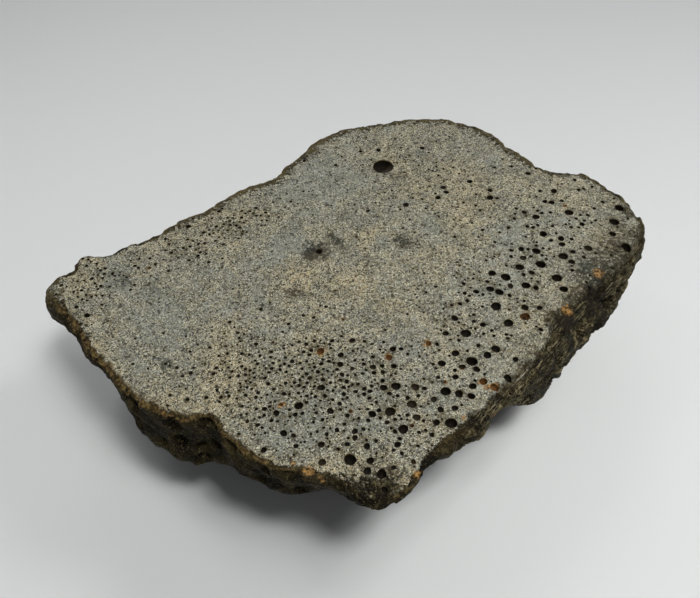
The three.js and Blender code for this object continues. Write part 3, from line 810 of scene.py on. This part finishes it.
sawn = Finish("sawn_and_weathered")
grain = sawn.cells(0.19)
grain_dark, grain_pale, grain_olive = (sawn.part(grain, i) for i in range(3))
tone = sawn.math("ADD", sawn.mark("warmth"), sawn.span(sawn.noise(3.0, 4, 0.65), 0.3, 0.7, -0.55, 0.55))
ground = sawn.blend(sawn.span(tone, -1.0, 1.15), (0.305, 0.314, 0.27), (0.465, 0.395, 0.242))
ground = sawn.blend(sawn.span(tone, 1.0, 2.1, 0, 0.85), ground, (0.6, 0.48, 0.29))
clear = sawn.span(tone, -1.1, 0.2, 0.7, 1.0)
ground = sawn.blend(sawn.span(sawn.noise(5.5, 5, 0.65), 0.38, 0.58, 0.5, 0), ground, (0.125, 0.133, 0.115))
ground = sawn.blend(sawn.span(sawn.noise(2.0, 5, 0.7), 0.36, 0.54, 0.6, 0), ground, (0.1, 0.1, 0.07))
ground = sawn.blend(sawn.span(sawn.noise(0.9, 4, 0.75), 0.34, 0.56, 0.45, 0), ground, (0.08, 0.08, 0.055))
pale_grains = sawn.math("MULTIPLY", sawn.span(grain_pale, 0.6, 0.98, 0, 0.85), clear)
ground = sawn.blend(pale_grains, ground, (0.72, 0.7, 0.54))
olive_grains = sawn.math("MULTIPLY", sawn.span(grain_olive, 0.68, 1.0, 0, 0.6), clear)
ground = sawn.blend(olive_grains, ground, (0.34, 0.285, 0.11))
ground = sawn.blend(sawn.span(sawn.part(sawn.cells(0.3), 1), 0.7, 1.0, 0, 0.5), ground, (0.23, 0.255, 0.26))
dark_grains = sawn.math("MULTIPLY", sawn.span(grain_dark, 0.46, 0.12, 0, 1.0), clear)
ground = sawn.blend(dark_grains, ground, (0.03, 0.029, 0.018))
clots = sawn.part(sawn.cells(0.45), 0)
ground = sawn.blend(sawn.span(clots, 0.09, 0.03, 0, 0.85), ground, (0.03, 0.026, 0.016))
hairs = sawn.noise(1.0, 3, 0.6, sawn.drawn_out(49, (6.5, 0.26, 0.3)))
fine_hairs = sawn.noise(1.0, 2, 0.5, sawn.drawn_out(57, (4.5, 0.15, 0.18)))
hairs = sawn.math("MAXIMUM", sawn.span(hairs, 0.53, 0.66), sawn.span(fine_hairs, 0.57, 0.68))
hairs = sawn.math("MULTIPLY", hairs, sawn.mark("rubbed"))
ground = sawn.blend(sawn.math("MULTIPLY", hairs, 0.5), ground, (0.52, 0.5, 0.38))
stained = sawn.math("MULTIPLY", sawn.mark("stain"), sawn.span(sawn.noise(0.9, 5, 0.75), 0.38, 0.6, 0.1, 1.9))
soot = sawn.blend(sawn.span(sawn.mark("warmth"), -0.3, 0.7), (0.02, 0.024, 0.016), (0.05, 0.037, 0.016))
ground = sawn.blend(sawn.span(stained, 0.05, 0.8, 0, 0.93), ground, soot)
lip = sawn.math("POWER", sawn.mark("lip"), 1.8)
lip = sawn.math("MULTIPLY", lip, sawn.span(sawn.noise(0.4, 3), 0.4, 0.6, 0.0, 1.2))
ground = sawn.blend(sawn.span(lip, 0.08, 0.9, 0, 0.85), ground, (0.085, 0.067, 0.028))
# Tiny pores too small for the mesh, drawn only in colour: a brown ring round a near-black core, which is
# painted shade of the hole.
pore_shade_size = sawn.span(sawn.part(sawn.cells(0.85), 2), 0.62, 1.0, 0.0, 0.26)
pore_shade_size = sawn.math("MULTIPLY", pore_shade_size, sawn.span(sawn.noise(9.0, 2), 0.35, 0.6, 0.35, 1.0))
painted_pore_shade = sawn.math("SUBTRACT", sawn.cells(0.85, "Distance"), pore_shade_size)
ground = sawn.blend(sawn.span(painted_pore_shade, 0.1, 0.0, 0, 0.45), ground, (0.09, 0.07, 0.03))
ground = sawn.blend(sawn.span(painted_pore_shade, 0.02, -0.04, 0, 0.9), ground, (0.02, 0.017, 0.01))

lay_inputs = {0: sawn.mark("grain_way", "Vector"), 1: (0.09, 0.09, 4.2)}
lay_lines = sawn.add("VectorMath", lay_inputs, operation="MULTIPLY")
lines = sawn.add("TexNoise", {"Vector": lay_lines, "Scale": 1.0, "Detail": 3.0, "Roughness": 0.6}, "Fac")
rind = sawn.blend(sawn.span(sawn.noise(4.0, 3), 0.35, 0.65), (0.0045, 0.0035, 0.0018), (0.028, 0.021, 0.008))
rind = sawn.blend(sawn.span(sawn.mark("tan"), 0.1, 1.0, 0, 0.8), rind, (0.12, 0.094, 0.036))
scuffs = sawn.span(sawn.noise(1.7, 5, 0.7), 0.5, 0.62)
scuffs = sawn.math("MULTIPLY", scuffs, sawn.span(sawn.mark("tan"), -0.15, 0.35))
rind = sawn.blend(sawn.math("MULTIPLY", scuffs, 0.7), rind, (0.17, 0.14, 0.065))
raised = sawn.math("ADD", sawn.mark("crest"), sawn.span(sawn.noise(0.9, 4, 0.65), 0.25, 0.75, -0.3, 0.3))
ribs = sawn.span(lines, 0.38, 0.62, -0.4, 0.4)
ribs = sawn.math("MULTIPLY", ribs, sawn.span(sawn.mark("rubbed"), 0, 0.3, 0.5, 0.3))
raised = sawn.math("ADD", raised, ribs)
worn_rind = sawn.blend(sawn.span(sawn.mark("rubbed"), 0, 0.3), (0.066, 0.048, 0.019), (0.25, 0.205, 0.1))
rind = sawn.blend(sawn.span(raised, 0.24, 0.82, 0, 0.85), rind, worn_rind)
in_patches = sawn.span(sawn.noise(3.0, 3), 0.38, 0.6, 0.25, 1)
strands = sawn.math("MULTIPLY", sawn.span(hairs, 0.1, 0.8, 0, 0.8), in_patches)
rind = sawn.blend(strands, rind, (0.36, 0.31, 0.18))
rind = sawn.blend(sawn.span(grain_pale, 0.86, 1.0, 0, 0.45), rind, (0.22, 0.18, 0.09))
# Pinholes in the rind: a shallow dent in the bump, and painted shade that colours them near-black.
pin_away = sawn.cells(0.95, "Distance")
pin_pick = sawn.part(sawn.cells(0.95), 2)
pin_size = sawn.span(pin_pick, 0.45, 1.0, 0.0, 0.36)
shaded_pinhole = sawn.span(sawn.math("SUBTRACT", pin_away, pin_size), 0.05, -0.06)
shaded_pinhole = sawn.math("MULTIPLY", shaded_pinhole, sawn.span(sawn.mark("tan"), 0.7, 0.3))
rind = sawn.blend(sawn.math("MULTIPLY", shaded_pinhole, 0.85), rind, (0.008, 0.006, 0.004))

cover = sawn.math("ADD", sawn.mark("crusted"), sawn.span(sawn.noise(0.8, 3, 0.6), 0.3, 0.7, -0.3, 0.3))
softly = sawn.mark("rubbed")
cover = sawn.span(cover, sawn.span(softly, 0, 1, 0.3, 0.14), sawn.span(softly, 0, 1, 0.62, 0.9))
colour = sawn.blend(cover, ground, rind)
rim = sawn.math("MULTIPLY", sawn.mark("rim"), sawn.span(sawn.noise(1.0, 4, 0.6), 0.32, 0.58, 0.15, 1.2))
rim_tint = sawn.blend(sawn.span(sawn.noise(0.6, 3), 0.42, 0.68), (0.055, 0.036, 0.012), (0.21, 0.145, 0.055))
colour = sawn.blend(sawn.span(rim, 0.15, 0.75, 0, 0.88), colour, rim_tint)
blots = sawn.math("ADD", sawn.mark("stain"), sawn.span(sawn.noise(1.2, 3), 0.3, 0.7, -0.4, 0.4))
colour = sawn.blend(sawn.span(blots, 0.9, 1.5, 0, 0.85), colour, (0.016, 0.013, 0.009))
colour = rust_over(sawn, colour, sawn.mark("rust"))
sawn.join(colour, sawn.shader.inputs["Base Color"])
gloss = sawn.span(sawn.mark("tan"), -0.2, -0.8, 0, 0.24)
sawn.join(sawn.math("SUBTRACT", sawn.span(cover, 0, 1, 0.8, 0.66), gloss), sawn.shader.inputs["Roughness"])
height = sawn.bump(grain_dark, 0.12, 0.6)
height = sawn.bump(sawn.noise(0.6, 3, 0.65), 0.35, 0.65, height)
height = sawn.bump(sawn.math("MULTIPLY", sawn.noise(2.2, 4, 0.6), cover), 1.0, 0.7, height)
height = sawn.bump(sawn.math("MULTIPLY", shaded_pinhole, cover), -0.3, 0.9, height)
height = sawn.bump(sawn.math("MULTIPLY", lines, cover), 0.3, 0.5, height)
height = sawn.bump(sawn.math("MULTIPLY", hairs, cover), 0.3, 0.6, height)
sawn.join(height, sawn.shader.inputs["Normal"])
shine = sawn.math("ADD", sawn.span(cover, 0, 1, 0.3, 0.08), gloss)
sawn.join(shine, sawn.shader.inputs["Specular IOR Level"])

wall = Finish("bubble_wall")
# The wall is a brown band at the mouth and near-black deeper down: painted shade of the bowl, with dust
# making the floor browner.
rim_of_bubble = wall.span(wall.mark("hollow"), 0.0, 0.2, 1.0, 0.0)
shaded_bottom = wall.blend(wall.span(wall.mark("dust_and_lit_side"), 0.5, 1.0), (0.009, 0.007, 0.004), (0.046, 0.036, 0.019))
# Values above 1.2 occur only on the largest bubble; they paint its lit side pale grey.
shaded_bottom = wall.blend(wall.span(wall.mark("dust_and_lit_side"), 1.2, 2.0), shaded_bottom, (0.075, 0.066, 0.06))
inside = wall.blend(wall.span(wall.noise(0.6, 3), 0.5, 0.75, 0, 0.5), shaded_bottom, (0.035, 0.025, 0.011))
inside = wall.blend(rim_of_bubble, inside, (0.13, 0.105, 0.048))
inside = rust_over(wall, inside, wall.mark("rust"), (0.15, 0.066, 0.018))
wall.join(inside, wall.shader.inputs["Base Color"])
wall.join(wall.bump(wall.noise(0.3, 2), 0.12, 0.6), wall.shader.inputs["Normal"])
wall.shader.inputs["Roughness"].default_value = 0.7
wall.shader.inputs["Specular IOR Level"].default_value = 0.12

body.materials.append(sawn.material)
body.materials.append(wall.material)
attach(stone, "root")
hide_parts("stone")


# ---- The floor ----
# A plain pale square sheet under the stone. It fills the camera's view. From low down at the sides its far
# edge can be seen, a few metres away.
HALF_SIDE = 2.5
floor_corners = [(HALF_SIDE * x, HALF_SIDE * y, 0) for x, y in ((-1, -1), (1, -1), (1, 1), (-1, 1))]
floor_mesh = bpy.data.meshes.new("floor")
floor_mesh.from_pydata(floor_corners, [], [(0, 1, 2, 3)])
floor = bpy.data.objects.new("floor", floor_mesh)
bpy.context.scene.collection.objects.link(floor)
paper = Finish("pale_floor")
paper.shader.inputs["Base Color"].default_value = (0.72, 0.735, 0.725, 1)
paper.shader.inputs["Roughness"].default_value = 0.6
floor_mesh.materials.append(paper.material)
floor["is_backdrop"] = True


# ---- Light ----
# A small high lamp stands in front and to the right, and a wide low window behind. Three weaker, narrower
# lamps light the floor: two at the right front and one at the left.
def lamp(name, azimuth, elevation, distance, width, height, power, aim=(0, 0, 0), spread=180):
    """A soft lamp beside the stone. Azimuth 0 is the camera's side, and 90 the right."""
    around, up = math.radians(azimuth), math.radians(elevation)
    way = Vector((math.sin(around) * math.cos(up), -math.cos(around) * math.cos(up), math.sin(up)))
    data = bpy.data.lights.new(name, "AREA")
    data.shape = "RECTANGLE"
    data.size = width
    data.size_y = height
    data.energy = power
    data.spread = math.radians(spread)
    made = bpy.data.objects.new(name, data)
    made.location = way * distance
    made.rotation_euler = (way * distance - Vector(aim)).to_track_quat("Z", "Y").to_euler()
    bpy.context.scene.collection.objects.link(made)


lamp("key", 42, 70, 0.75, 0.14, 0.14, 1.88)
lamp("window", 190, 25, 0.9, 0.6, 0.3, 1.25)
lamp("pool_right", 120, 45, 0.6, 0.15, 0.15, 0.19, aim=(0.08, -0.08, 0), spread=75)
lamp("pool_front", 60, 65, 0.6, 0.15, 0.15, 0.155, aim=(0.08, -0.08, 0), spread=75)
lamp("pool_left", 232, 50, 0.6, 0.15, 0.15, 0.036, aim=(-0.11, 0.0, 0), spread=42)
world = bpy.data.worlds.new("pale_room")
world.use_nodes = True
world.node_tree.nodes["Background"].inputs["Color"].default_value = (0.95, 0.98, 1.0, 1)
world.node_tree.nodes["Background"].inputs["Strength"].default_value = 0.13
bpy.context.scene.world = world
bpy.context.scene.view_settings.view_transform = "Standard"


# ---- Camera ----
# It looks down on the cut face from the front, close enough for the stone to fill most of the picture. It
# stands this many millimetres above the cut face, and in front and to the left of the middle of the stone's
# box. The tilt is from straight down.
ABOVE_CUT = 110.85
IN_FRONT = 106.82
TO_THE_LEFT = 1.5
TILT = 41.5
SENSOR = 36
# The focal length and the width of the picture, both in pixels.
FOCAL_LENGTH = 760
PICTURE_WIDTH = 700
camera_data = bpy.data.cameras.new("camera")
camera_data.sensor_width = SENSOR
camera_data.lens = FOCAL_LENGTH / PICTURE_WIDTH * SENSOR
camera_data.clip_start = 0.005
camera = bpy.data.objects.new("camera", camera_data)
camera.location = Vector((-TO_THE_LEFT, -IN_FRONT, CUT_HEIGHT + ABOVE_CUT)) * MM
camera.rotation_euler = (math.radians(TILT), 0, 0)
bpy.context.scene.collection.objects.link(camera)
bpy.context.scene.camera = camera

low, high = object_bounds()
